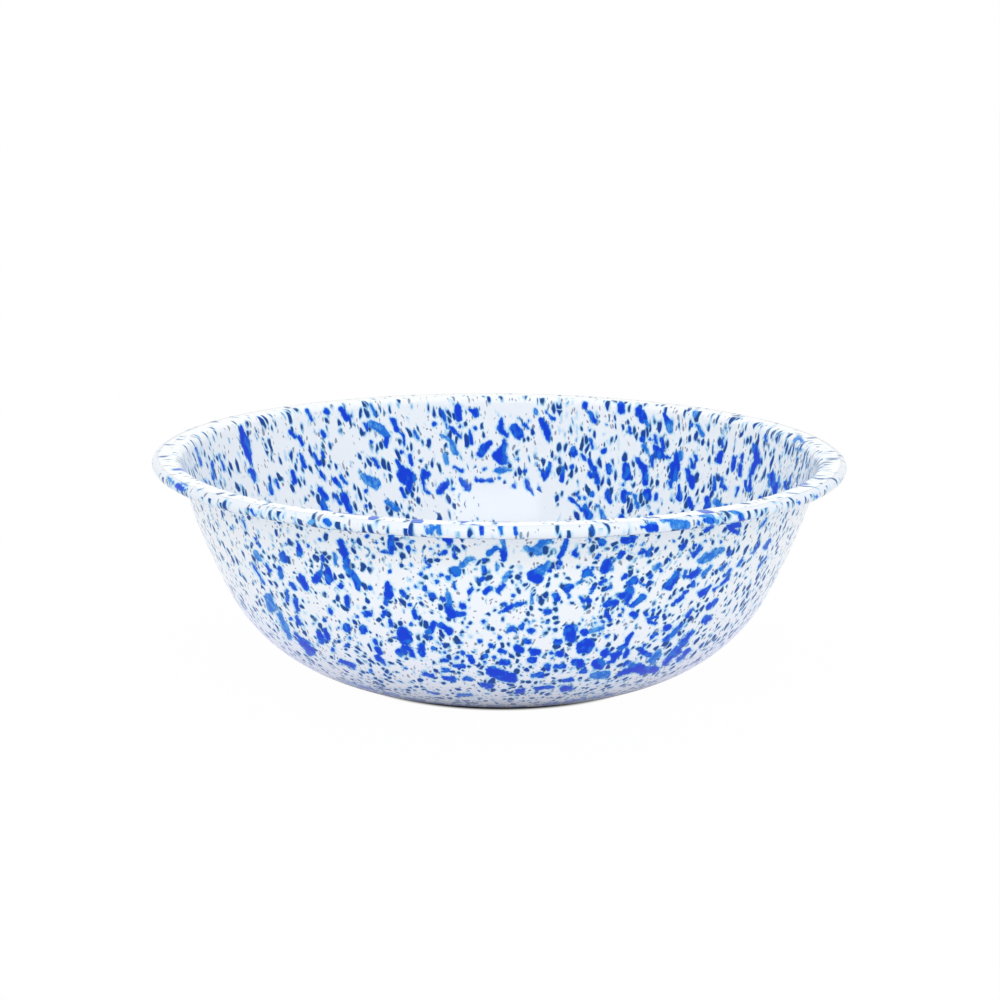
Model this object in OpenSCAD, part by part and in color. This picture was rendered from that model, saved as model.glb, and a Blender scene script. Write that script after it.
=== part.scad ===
// Enamelled steel basin bowl with a rolled rim and a splattered blue finish.
// Millimetres. The bowl stands on z = 0, and its axis of revolution is the Z axis.
// One sheet outline is drawn once, as lines parallel to the outside of the finished wall.
// Steel, ground coat and cover coat are the bands between two such lines, so they meet face to face.

/* [Bowl] */
// Width across the rolled rim
rim_d = 356; // [320:1:410]
// Height from the table to the top of the rim
bowl_h = 115; // [104:1:140]
// Width of the flat that the bowl stands on
foot_d = 128; // [100:1:145]
// Radius of the rounded corner between the flat and the wall
corner_r = 86; // [60:1:90]
// Radius of the wall's slight outward bow
wall_bow_r = 300; // [240:5:600]

/* [Rim] */
// Outside radius of the rolled edge
roll_r = 3.1; // [2.8:0.1:4]
// Width of the flat lip between the bend and the roll
lip_flat_w = 7.3; // [4:0.1:12]
// Radius of the bend from the wall to the lip, on its upper face
lip_bend_r = 5; // [4:0.1:9]
// Slit between the sheet's rolled-in end and the underside of the lip
roll_slit = 0.25; // [0.15:0.05:0.4]

/* [Sheet and coats] */
// Thickness of the pressed steel sheet
steel_t = 0.9; // [0.6:0.05:1.1]
// Thickness of the dark ground coat on each face
ground_t = 0.15; // [0.12:0.01:0.25]
// Thickness of the white cover coat on each face
white_t = 0.3; // [0.2:0.01:0.4]

/* [Splatter] */
// Number of blue drops inside the bowl
inside_drops = 170; // [60:1:180]
// Number of blue drops on the outside
outside_drops = 220; // [80:1:230]
// Number of blue marks that wrap round the rolled edge
rim_marks = 44; // [12:1:60]
// Half width of the smallest drop
drop_min = 1.8; // [1:0.1:2.5]
// Half width of the largest drop
drop_max = 5.8; // [3:0.1:6]
// Thickness of a drop at its middle
drop_t = 0.35; // [0.2:0.01:0.5]
// Clearance under a drop
drop_seat = 0.12; // [0.1:0.01:0.2]

/* [Hidden] */
$fn = 96;

// Colours of the bare pressed sheet, the fired ground coat, the cover coat and the drops
STEEL = [0.55, 0.56, 0.58];
GROUND = [0.10, 0.11, 0.16];
WHITE = [0.94, 0.94, 0.96];
BLUE = [0.08, 0.28, 0.85];

// Depths below the outside of the finished wall, towards the inside of the bowl
wall_t = steel_t + 2 * (ground_t + white_t);
OUT_WHITE = 0;
OUT_GROUND = white_t;
OUT_STEEL = white_t + ground_t;
IN_STEEL = wall_t - white_t - ground_t;
IN_GROUND = wall_t - white_t;
IN_WHITE = wall_t;

// Centres, as [radius, height], of the rolled edge and of the bend under the lip
roll_c = [rim_d / 2 - roll_r, bowl_h - roll_r];
bend_c = [roll_c[0] - lip_flat_w, bowl_h - lip_bend_r];
bend_under_r = lip_bend_r - wall_t;

// The corner is a fillet between the flat and the wall. One with the radius corner_room would
// touch the bend, so the wall limits the fillet to a share of that.
corner_reach = bend_c[0] - foot_d / 2;
corner_room = (corner_reach ^ 2 + bend_c[1] ^ 2 - bend_under_r ^ 2) / (2 * (bend_c[1] + bend_under_r));
corner_room_share = 0.9;
corner_fit_r = min(corner_r, corner_room_share * corner_room);
corner_c = [foot_d / 2, corner_fit_r];

// The wall's arc touches the corner's arc from inside and the bend's arc from outside.
// Its centre closes a triangle on the other two, whose sides are known.
span = bend_c - corner_c;
to_corner = wall_bow_r - corner_fit_r;
to_bend = wall_bow_r + bend_under_r;
span_tilt = atan2(span[1], span[0]);
opening = acos((span * span + to_corner ^ 2 - to_bend ^ 2) / (2 * norm(span) * to_corner));
// Slope of the wall where it leaves the corner and where it reaches the lip
low_lean = span_tilt + opening - 90;
wall_c = corner_c + to_corner * [-sin(low_lean), cos(low_lean)];
top_lean = 90 + atan2(bend_c[1] - wall_c[1], bend_c[0] - wall_c[0]);

// The roll ends where its outside, measured past the bottom, comes within the slit of the lip
lip_under = bowl_h - wall_t;
roll_end = -180 - asin((lip_under - roll_slit - roll_c[1]) / roll_r);

// Straight steps that stand for each arc. The wall's steps stay well within the room under a drop.
CORNER_STEPS = 24;
BEND_STEPS = 10;
ROLL_STEPS = 28;
wall_sag = drop_seat / 2;
wall_steps = ceil((top_lean - low_lean) / (2 * acos(1 - wall_sag / wall_bow_r)));

function polar(r, angle) = r * [cos(angle), sin(angle)];
function arc(c, r, from, to, steps) =
    [for (i = [0:steps]) c + polar(r, from + (to - from) * i / steps)];

// The outline at depth d: from the axis along the flat, up the wall and round the bend
function bowl_line(d) = concat(
    [[0, d]],
    arc(corner_c, corner_fit_r - d, -90, low_lean - 90, CORNER_STEPS),
    arc(wall_c, wall_bow_r - d, low_lean - 90, top_lean - 90, wall_steps),
    arc(bend_c, bend_under_r + d, 90 + top_lean, 90, BEND_STEPS)
);
// The rolled edge at depth d, from the lip round the outside and back under the lip
function roll_line(d) = arc(roll_c, roll_r - wall_t + d, 90, roll_end, ROLL_STEPS);
// The lip at depth d, where it meets the roll, and its underside above the sheet's rolled-in end
function lip_end(d) = [[roll_c[0], lip_under + d]];
function lip_at_slit(d, r) = [[roll_c[0] + r * cos(roll_end), lip_under + d]];
function reversed(line) = [for (i = [len(line) - 1:-1:0]) line[i]];

// The band between two lines that both start on the axis, turned round it
module turned(line, back) {
    rotate_extrude() polygon(concat(line, reversed(back)));
}

// Pressed sheet, spun out to a lip and rolled into a hollow edge
module steel_body() {
    color(STEEL) turned(
        concat(bowl_line(OUT_STEEL), roll_line(OUT_STEEL)),
        concat(bowl_line(IN_STEEL), roll_line(IN_STEEL))
    );
}

// Dark coat that bonds the glass to the steel, inside the bowl and over the whole roll
module ground_coat_inside() {
    color(GROUND) turned(
        concat(bowl_line(IN_STEEL), roll_line(IN_STEEL)),
        concat(bowl_line(IN_GROUND), roll_line(IN_GROUND))
    );
}

// The same dark coat on the outside, as far as the slit behind the roll
module ground_coat_outside() {
    slit_r = roll_r - white_t;
    color(GROUND) turned(
        concat(bowl_line(OUT_GROUND), lip_at_slit(OUT_GROUND, slit_r)),
        concat(bowl_line(OUT_STEEL), lip_at_slit(OUT_STEEL, slit_r))
    );
}

// White cover coat inside the bowl, out to the top of the roll
module white_coat_inside() {
    color(WHITE) turned(
        concat(bowl_line(IN_GROUND), lip_end(IN_GROUND)),
        concat(bowl_line(IN_WHITE), lip_end(IN_WHITE))
    );
}

// White cover coat on the outside: it closes the slit and goes round the roll to its top
module white_coat_outside() {
    color(WHITE) turned(
        concat(bowl_line(OUT_WHITE), lip_at_slit(OUT_WHITE, roll_r), reversed(roll_line(IN_WHITE))),
        concat(
            bowl_line(OUT_GROUND),
            lip_at_slit(OUT_GROUND, roll_r - white_t),
            reversed(roll_line(IN_GROUND))
        )
    );
}

// Lengths along the outline at depth d: the flat, the corner and the wall
function flat_len(d) = corner_c[0];
function corner_len(d) = (corner_fit_r - d) * low_lean * PI / 180;
function wall_len(d) = (wall_bow_r - d) * (top_lean - low_lean) * PI / 180;

// [radius, height, slope] of the outline at depth d, a length s along it from the axis
function on_outline(s, d) =
    s < flat_len(d) ? [s, d, 0]
    : s < flat_len(d) + corner_len(d) ?
        let (lean = (s - flat_len(d)) / (corner_fit_r - d) * 180 / PI)
        concat(corner_c + polar(corner_fit_r - d, lean - 90), lean)
    : let (past = s - flat_len(d) - corner_len(d),
           lean = low_lean + past / (wall_bow_r - d) * 180 / PI)
        concat(wall_c + polar(wall_bow_r - d, lean - 90), lean);

// A point above the surface: lift is along the normal that points into the bowl
function on_surface(s, turn, d, lift) =
    let (p = on_outline(s, d), r = p[0] - lift * sin(p[2]))
    [r * cos(turn), r * sin(turn), p[1] + lift * cos(p[2])];

// One drop of glass: a low lens with an uneven edge, drawn out along the slope of the wall
DROP_SIDES = 8;
module drop(s, turn, d, side, half_w, long_share, twist, seed) {
    uneven_shares = rands(0.75, 1.2, DROP_SIDES, seed);
    r = on_outline(s, d)[0];
    function corner(i) =
        let (a = 360 * i / DROP_SIDES, reach = half_w * uneven_shares[i],
             along = reach * long_share * cos(a), across = reach * sin(a),
             ds = along * cos(twist) - across * sin(twist),
             dr = along * sin(twist) + across * cos(twist))
        on_surface(s + ds, turn + dr / r * 180 / PI, d, side * drop_seat);
    last = DROP_SIDES - 1;
    edge = [for (i = [0:last]) corner(i)];
    top = on_surface(s, turn, d, side * (drop_seat + drop_t));
    under = on_surface(s, turn, d, side * drop_seat);
    sides = [for (i = [0:last]) let (j = (i + 1) % DROP_SIDES) [[i, j, last + 1], [j, i, last + 2]]];
    faces = [for (pair = sides) for (f = pair) side > 0 ? f : reversed(f)];
    polyhedron(points = concat(edge, [top, under]), faces = faces);
}

// Drops are spread by the golden angle and by even area, so no two of them touch
GOLDEN_TURN = 137.50776;
SEED = 7;
module drops(count, d, side, low_s, high_s, long_share) {
    low_area = on_outline(low_s, d)[0] ^ 2;
    high_area = on_outline(high_s, d)[0] ^ 2;
    size_shares = rands(0, 1, count, SEED);
    twists = rands(-25, 25, count, SEED + 1);
    for (i = [0:count - 1]) {
        want_r = sqrt(low_area + (high_area - low_area) * (i + 0.5) / count);
        s = low_s + (high_s - low_s) * (want_r - sqrt(low_area)) / (sqrt(high_area) - sqrt(low_area));
        half_w = drop_min + (drop_max - drop_min) * size_shares[i] ^ 2;
        drop(s, i * GOLDEN_TURN, d, side, half_w, long_share, twists[i], SEED + i);
    }
}

// Room kept free of drops at the ends of the outline
drop_margin = 2.4 * drop_max;

module blue_drops_inside() {
    low = drop_margin;
    high = flat_len(IN_WHITE) + corner_len(IN_WHITE) + wall_len(IN_WHITE) - drop_margin;
    color(BLUE) drops(inside_drops, IN_WHITE, 1, low, high, 1.5);
}

module blue_drops_outside() {
    low = flat_len(OUT_WHITE) + drop_margin;
    high = flat_len(OUT_WHITE) + corner_len(OUT_WHITE) + wall_len(OUT_WHITE) - drop_margin;
    color(BLUE) drops(outside_drops, OUT_WHITE, -1, low, high, 1.3);
}

// Marks on the rolled edge follow its curve: each is a short turn of a thin crescent
MARK_STEPS = 8;
module blue_marks_rim() {
    pitch = 360 / rim_marks;
    width_shares = rands(0.15, 0.5, rim_marks, SEED + 2);
    start_angles = rands(60, 95, rim_marks, SEED + 3);
    end_angles = rands(-70, 10, rim_marks, SEED + 4);
    seat_r = roll_r + drop_seat;
    color(BLUE)
        for (i = [0:rim_marks - 1])
            rotate(i * pitch)
                rotate_extrude(angle = pitch * width_shares[i])
                    polygon(concat(
                        arc(roll_c, seat_r + drop_t, start_angles[i], end_angles[i], MARK_STEPS),
                        arc(roll_c, seat_r, end_angles[i], start_angles[i], MARK_STEPS)
                    ));
}

steel_body();
ground_coat_inside();
ground_coat_outside();
white_coat_inside();
white_coat_outside();
blue_drops_inside();
blue_drops_outside();
blue_marks_rim();
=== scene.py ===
# %% [markdown]
# The enamel basin bowl in Blender.
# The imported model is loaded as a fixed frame, in metres, with the bowl standing on z = 0. Its steel
# body and ground coats stay as they are. The white coat and the blue drops are made here as
# finer shells with a fired-glass finish, because that is what the eye sees.

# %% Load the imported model
import math
import bpy
import numpy as np
from mathutils import Matrix, Vector


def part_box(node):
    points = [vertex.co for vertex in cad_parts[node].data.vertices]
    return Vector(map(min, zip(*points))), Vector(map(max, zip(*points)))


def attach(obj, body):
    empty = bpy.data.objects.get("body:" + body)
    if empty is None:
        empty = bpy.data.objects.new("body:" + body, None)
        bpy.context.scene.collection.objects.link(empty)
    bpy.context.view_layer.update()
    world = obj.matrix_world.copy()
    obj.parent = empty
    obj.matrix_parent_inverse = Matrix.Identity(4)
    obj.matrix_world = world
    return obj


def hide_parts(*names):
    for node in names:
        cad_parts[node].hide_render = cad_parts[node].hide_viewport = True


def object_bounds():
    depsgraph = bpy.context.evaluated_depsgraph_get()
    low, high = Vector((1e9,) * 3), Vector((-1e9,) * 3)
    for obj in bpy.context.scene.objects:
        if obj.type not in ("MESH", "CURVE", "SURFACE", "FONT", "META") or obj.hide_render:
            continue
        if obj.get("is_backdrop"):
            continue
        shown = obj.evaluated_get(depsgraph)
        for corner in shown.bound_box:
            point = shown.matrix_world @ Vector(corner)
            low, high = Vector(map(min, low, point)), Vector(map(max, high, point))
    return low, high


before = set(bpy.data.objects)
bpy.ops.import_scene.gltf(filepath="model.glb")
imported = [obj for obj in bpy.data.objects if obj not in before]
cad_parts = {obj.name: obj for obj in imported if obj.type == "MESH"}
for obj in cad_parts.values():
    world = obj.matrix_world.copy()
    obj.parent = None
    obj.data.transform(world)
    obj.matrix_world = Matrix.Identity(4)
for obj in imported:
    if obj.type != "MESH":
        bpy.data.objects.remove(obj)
cad_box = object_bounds()
MM = 0.001
print("nodes:", sorted(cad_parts))

# %% [markdown]
# The bowl is a pressed sheet: a flat foot, a rounded corner, a wall with a slight bow, a tight bend
# to a flat lip, and an edge rolled outwards and under. Each stretch is an arc, and each arc
# touches the next, so a few sizes settle the whole outline. The outer sizes are read
# from the model's own box.

# %% Sizes of the pressed and rolled sheet
coat_lo, coat_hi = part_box("white_coat_outside")
rim_r = (coat_hi.x - coat_lo.x) / 2
bowl_h = coat_hi.z
foot_r = 64 * MM
corner_r = 86 * MM
wall_bow_r = 300 * MM
roll_r = 3.1 * MM
lip_flat_w = 7.3 * MM
lip_bend_r = 5 * MM
roll_slit = 0.25 * MM
wall_t = 1.8 * MM
coat_t = 0.3 * MM
print("rim radius %.1f mm, height %.1f mm" % (rim_r / MM, bowl_h / MM))


# %% Centres of the arcs
def solve_wall():
    """The wall's centre closes a triangle on the corner's and the bend's centres, by the law of
    cosines. Gives the wall's centre and its slope at the low and at the high end, in radians."""
    span = bend_c - corner_c
    to_corner = wall_bow_r - corner_r
    to_bend = wall_bow_r + lip_bend_r - wall_t
    cosine = (span @ span + to_corner**2 - to_bend**2) / (2 * np.hypot(*span) * to_corner)
    low = math.atan2(span[1], span[0]) + math.acos(cosine) - math.pi / 2
    centre = corner_c + to_corner * np.array([-math.sin(low), math.cos(low)])
    high = math.pi / 2 + math.atan2(bend_c[1] - centre[1], bend_c[0] - centre[0])
    return centre, low, high


corner_c = np.array([foot_r, corner_r])
roll_c = np.array([rim_r - roll_r, bowl_h - roll_r])
bend_c = np.array([roll_c[0] - lip_flat_w, bowl_h - lip_bend_r])
wall_c, low_lean, top_lean = solve_wall()
lip_under = bowl_h - wall_t
roll_end = -math.pi - math.asin((lip_under - roll_slit - roll_c[1]) / roll_r)
print("wall leans from %.1f to %.1f degrees" % (math.degrees(low_lean), math.degrees(top_lean)))


# %% Outline of the bowl and of its rolled edge
def arc(centre, radius, start, end, steps):
    """Points at centre + radius * (cos, sin) of angles that go evenly from start to end."""
    angle = np.linspace(start, end, steps + 1)
    return centre + radius * np.stack([np.cos(angle), np.sin(angle)], axis=1)


def straight(start, end, steps):
    """Points spread evenly from start to end, without the last one."""
    share = np.linspace(0, 1, steps + 1)[:-1, None]
    return np.array(start) * (1 - share) + np.array(end) * share


STEPS = (6, 55, 56, 10)
STEPS_OVER_LIP = 5
STEPS_UNDER_LIP = 3
STEPS_ROUND_ROLL = 30


def bowl_line(depth, detail=1.0):
    """Outline from the axis to the lip, at a depth below the outside of the finished wall:
    a straight flat, then the arcs of the corner, the wall and the bend, one after the other.
    Detail is a share of the steps, less than one for a line that stays hidden."""
    flat, corner, wall, bend = (math.ceil(steps * detail) for steps in STEPS)
    quarter = math.pi / 2
    return np.vstack([
        straight([0, depth], [foot_r, depth], flat),
        arc(corner_c, corner_r - depth, -quarter, low_lean - quarter, corner)[:-1],
        arc(wall_c, wall_bow_r - depth, low_lean - quarter, top_lean - quarter, wall)[:-1],
        arc(bend_c, lip_bend_r - wall_t + depth, quarter + top_lean, quarter, bend),
    ])


def inside_line(depth, detail=1.0):
    """The bowl's outline at a depth, and on along the lip to the top of the rolled edge."""
    line = bowl_line(depth, detail)
    top = [roll_c[0], line[-1][1]]
    return np.vstack([line, straight(line[-1], top, STEPS_OVER_LIP)[1:], [top]])


def outside_line(depth, detail=1.0):
    """The bowl's outline at a depth, and on under the lip to the slit behind the rolled edge."""
    line = bowl_line(depth, detail)
    slit = [roll_c[0] + (roll_r - depth) * math.cos(roll_end), line[-1][1]]
    return np.vstack([line, straight(line[-1], slit, STEPS_UNDER_LIP)[1:], [slit]])


def roll_line(depth):
    """The rolled edge at a depth below its finish: one arc from its top round to the slit."""
    return arc(roll_c, roll_r - depth, math.pi / 2, roll_end, STEPS_ROUND_ROLL)


print("points in the outlines:", len(inside_line(wall_t)), len(outside_line(0)), len(roll_line(0)))

# %% [markdown]
# A piece turned round the axis is a grid: one way along the outline, the other way round the bowl.
# Each coat is a closed shell with a finish line, which is seen, and a back line hidden in the
# sheet. Hand-pressed sheet is never quite true, so both lines swell and shrink by a
# tenth of a millimetre round the bowl. That is too little to measure and enough to make the
# reflections wander. The flat foot stays flat.

# %% Turn an outline into a closed shell
TURNS = 600
SEEN_SHARE = 0.8
BACK_DETAIL = 0.2
WAVER = 0.1 * MM
grids = {}


def unevenness(angle, height):
    """How far the sheet stands inside a true circle: a few slow waves round the bowl that
    die away towards the foot."""
    share = np.clip(height / bowl_h, 0, 1)
    wave = (0.5 * np.sin(2 * angle + 0.7) + 0.3 * np.sin(5 * angle + 2.1 + 3 * share)
            + 0.2 * np.sin(11 * angle + 4.0 - 6 * share))
    return WAVER * (wave - 1) * share**2


def ring_angles(seen_from):
    """Angles of the rings' points. Most of them stand in the half turn whose finish the photograph
    shows, because the drops placed there need the finer grid."""
    many = round(TURNS * SEEN_SHARE)
    dense = np.arange(many) / many
    sparse = 1 + np.arange(TURNS - many) / (TURNS - many)
    return seen_from + math.pi * np.append(dense, sparse)


def ring_points(line, angle):
    """Grid of points: each outline point carried round the axis, its radius a little uneven."""
    radius = line[:, :1] + unevenness(angle[None, :], line[:, 1:])
    height = np.repeat(line[:, 1:], TURNS, axis=1)
    return np.stack([radius * np.cos(angle), radius * np.sin(angle), height], axis=2).reshape(-1, 3)


def band_faces(first, second):
    """Four-sided faces between rows of ring points, given the rows' first vertex numbers."""
    here = np.arange(TURNS)
    there = (here + 1) % TURNS
    low, high = first[:, None], second[:, None]
    return np.stack([low + here, high + here, high + there, low + there], axis=2).reshape(-1, 4)


def fan_faces(pole, row, up):
    """Three-sided faces from a point on the axis to a ring."""
    here = row + np.arange(TURNS)
    there = row + (np.arange(TURNS) + 1) % TURNS
    middle = np.full(TURNS, pole)
    return np.stack([middle, here, there] if up else [middle, there, here], axis=1)


def length_along(line):
    """Distance from the start of a line to each of its points."""
    return np.append(0, np.cumsum(np.hypot(*np.diff(line, axis=0).T)))


def turned_shell(name, finish, back, finish_on_top, seen_from):
    """A closed shell of revolution. The loop of outline points runs along the finish and home
    along the back; where both start on the axis, a fan of triangles closes each pole.
    The distance along the outline and the angle of every point are kept for the patterns."""
    along, along_back = length_along(finish), length_along(back)
    start = 1 if finish[0][0] == 0 else 0
    loop = np.vstack([finish[start:], back[start:][::-1]])
    along_loop = np.append(along[start:], along_back[start:][::-1] * along[-1] / along_back[-1])
    if not finish_on_top:
        loop, along_loop = loop[::-1], along_loop[::-1]
    angle = ring_angles(seen_from)
    points = ring_points(loop, angle)
    rows = np.arange(len(loop)) * TURNS
    if start:
        quads = band_faces(rows[:-1], rows[1:])
        upper, lower = (finish[0], back[0]) if finish_on_top else (back[0], finish[0])
        fans = np.vstack([fan_faces(len(points), rows[0], True),
                          fan_faces(len(points) + 1, rows[-1], False)])
        points = np.vstack([points, [[0, 0, upper[1]], [0, 0, lower[1]]]])
    else:
        quads = band_faces(rows, np.roll(rows, -1))
        fans = np.zeros((0, 3), int)
    mesh = bpy.data.meshes.new(name)
    mesh.from_pydata(points, [], quads.tolist() + fans.tolist())
    mesh.shade_smooth()
    piece = bpy.data.objects.new(name, mesh)
    bpy.context.collection.objects.link(piece)
    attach(piece, "root")
    grids[name] = {
        "along": np.append(np.repeat(along_loop, TURNS), [0] * (2 * start)),
        "angle": np.append(np.tile(angle, len(loop)), [0] * (2 * start)),
    }
    return piece


# %% Make the three fired coats
inner, outer, roll = inside_line(wall_t), outside_line(0), roll_line(0)
inner_back = inside_line(wall_t - coat_t, BACK_DETAIL)
outer_back = outside_line(coat_t, BACK_DETAIL)
BACK_HALF, FRONT_HALF = 0, -math.pi
enamel_inside = turned_shell("enamel_inside", inner, inner_back, True, BACK_HALF)
enamel_outside = turned_shell("enamel_outside", outer, outer_back, False, FRONT_HALF)
enamel_rim = turned_shell("enamel_rim", roll, roll_line(coat_t), True, FRONT_HALF)
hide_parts("white_coat_inside", "blue_drops_inside")
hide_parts("white_coat_outside", "blue_drops_outside")
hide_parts("blue_marks_rim", "white_coat_outside")
coats = [enamel_inside, enamel_outside, enamel_rim]
for coat in coats:
    print(coat.name, len(coat.data.vertices), "points", len(coat.data.polygons), "faces")

# %% [markdown]
# The drops are drawn out down the wall and over the lip, because they were flung on while the glaze
# was wet. A pattern on plain Object coordinates would be cut into slices by the curved wall and
# couldn't be drawn out. So each point carries flow coordinates: its place round the axis, and
# a height that grows more slowly along the wall than the real length does. In them a round drop
# is a long one on the bowl. They have no seam, since they turn with the bowl.

# %% Flow coordinates
def smooth(value, low, high):
    """Goes from 0 at low to 1 at high with an even start and end: 3 t squared less 2 t cubed."""
    share = np.clip((value - low) / (high - low), 0, 1)
    return share * share * (3 - 2 * share)


STEEPENING = (20, 65)
LEAST_GROWTH = 0.01


def grown(line, longest, across_lip):
    """Height that the flow coordinate has at each point of a line. Its growth for a step of length
    is the square root of (1 / stretch) squared less the step's share outwards squared. The
    stretch goes from 1 on the flat to the longest on the wall; past the wall the growth is given."""
    step = np.diff(line, axis=0)
    length = np.hypot(*step.T)
    lean = np.degrees(np.arctan2(np.abs(step[:, 1]), step[:, 0]))
    stretch = 1 + (longest - 1) * smooth(lean, *STEEPENING)
    growth = np.sqrt(np.clip(1 / stretch**2 - (step[:, 0] / length)**2, LEAST_GROWTH, 1))
    past_wall = line[1:, 0] > bend_c[0] - lip_bend_r
    return np.append(0, np.cumsum(np.where(past_wall, across_lip, growth) * length))


def add_values(piece, name, values, kind="FLOAT"):
    """Puts one value, or one vector, per point on a piece for its material to read."""
    layer = piece.data.attributes.new(name, kind, "POINT")
    field = "value" if kind == "FLOAT" else "vector"
    layer.data.foreach_set(field, np.asarray(values, np.float32).ravel())


def add_flow(piece, line, height, twist):
    """Flow coordinates in metres: (r cos a, r sin a, height). The radius r at a point's place along
    the line grows more slowly past the wall, so that drops are drawn out over the lip, and
    its angle a is turned further the higher it is, so that drops slant."""
    grid = grids[piece.name]
    places = length_along(line)
    true_radius = np.interp(grid["along"], places, line[:, 0])
    past_wall = np.clip(true_radius - (bend_c[0] - lip_bend_r), 0, None)
    radius = true_radius - past_wall * (1 - ACROSS_LIP)
    rise = np.interp(grid["along"], places, height)
    angle = grid["angle"] + twist(grid["angle"]) * rise / rim_r
    flow = np.stack([radius * np.cos(angle), radius * np.sin(angle), rise], axis=1)
    add_values(piece, "flow", flow, "FLOAT_VECTOR")
    grid["radius"] = true_radius


def slant_inside(angle):
    """Slant of the inside's drops: their tops lean to the left, most of all on the right."""
    return -0.25 - 0.15 * np.cos(angle)


def slant_outside(angle):
    """Slant of the outside's drops."""
    return 0.08 * np.sin(2 * angle)


ACROSS_LIP = 0.32
LONGEST_INSIDE = 2.0
LONGEST_OUTSIDE = 1.35
height_inside = grown(inner, LONGEST_INSIDE, ACROSS_LIP)
height_roll = height_inside[-1] + length_along(roll) * ACROSS_LIP
height_outside = grown(outer, LONGEST_OUTSIDE, 1.0)
add_flow(enamel_inside, inner, height_inside, slant_inside)
add_flow(enamel_rim, roll, height_roll, slant_inside)
add_flow(enamel_outside, outer, height_outside, slant_outside)
print("flow heights in mm: %.1f and %.1f" % (height_inside[-1] / MM, height_outside[-1] / MM))

# %% [markdown]
# The camera looks along +Y and a little down, as for a product photograph. Its distance, height and
# lens were settled by matching the outline of the bowl. The picture is tilted by half a degree.

# %% Camera
PICTURE_W = 1000
aim_pixel = np.array([498.6, 566.5])
aim = np.array([0, 0, 53.4 * MM])
camera_far = 1.271
camera_up = math.radians(13.76)
camera_tilt = math.radians(0.453)
focal_pixels = 2433
SENSOR = 36

forward = np.array([0, math.cos(camera_up), -math.sin(camera_up)])
level_right = np.array([1.0, 0, 0])
level_up = np.cross(level_right, forward)
right = level_right * math.cos(camera_tilt) + level_up * math.sin(camera_tilt)
upward = level_up * math.cos(camera_tilt) - level_right * math.sin(camera_tilt)
eye = aim - forward * camera_far

lens = bpy.data.cameras.new("camera")
lens.sensor_width = SENSOR
lens.lens = focal_pixels * SENSOR / PICTURE_W
lens.shift_x = 0.5 - aim_pixel[0] / PICTURE_W
lens.shift_y = aim_pixel[1] / PICTURE_W - 0.5
camera = bpy.data.objects.new("camera", lens)
camera.matrix_world = Matrix.Translation(Vector(eye)) @ Matrix(
    np.stack([right, upward, -forward], axis=1).tolist()).to_4x4()
bpy.context.collection.objects.link(camera)
bpy.context.scene.camera = camera
print("lens %.1f mm, camera %.2f m away" % (lens.lens, camera_far))

# %% [markdown]
# The splatter is what makes this ware. Blue glaze is flung from a brush on to the wet white, so
# there are a few long splashes, many round drops and a mist of specks. The largest splashes that the
# photograph shows are placed one by one, as strokes: each starts and ends at a
# pixel of the photograph. Each point of the bowl knows which pixel shows it. The rest is random.

# %% Which pixel of the photograph shows a point
def seen_at(points):
    """Pixels, counted right and down, that show points in the camera's picture."""
    ray = points - eye
    away = ray @ forward
    return aim_pixel + focal_pixels * np.stack([ray @ right, -ray @ upward], axis=1) / away[:, None]


def find_pixels(piece):
    """Keeps each point's place, and its pixel if it faces the camera, or else a far-off one."""
    mesh = piece.data
    points = np.empty(len(mesh.vertices) * 3)
    normals = np.empty(len(mesh.vertices) * 3)
    mesh.vertices.foreach_get("co", points)
    mesh.vertices.foreach_get("normal", normals)
    points, normals = points.reshape(-1, 3), normals.reshape(-1, 3)
    facing = ((eye - points) * normals).sum(axis=1) > 0
    grids[piece.name]["points"] = points
    grids[piece.name]["pixels"] = np.where(facing[:, None], seen_at(points), FAR_OFF)


# The near rim hides the near side of the inside, where the sine of the angle is lowest.
FAR_OFF = -1000
NEAR_SIDE = -0.45
for coat in coats:
    find_pixels(coat)
near_side = np.sin(grids["enamel_inside"]["angle"]) < NEAR_SIDE
grids["enamel_inside"]["pixels"][near_side] = FAR_OFF
print("points seen by the camera:", [np.sum(grids[coat.name]["pixels"][:, 0] > 0) for coat in coats])
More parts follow.
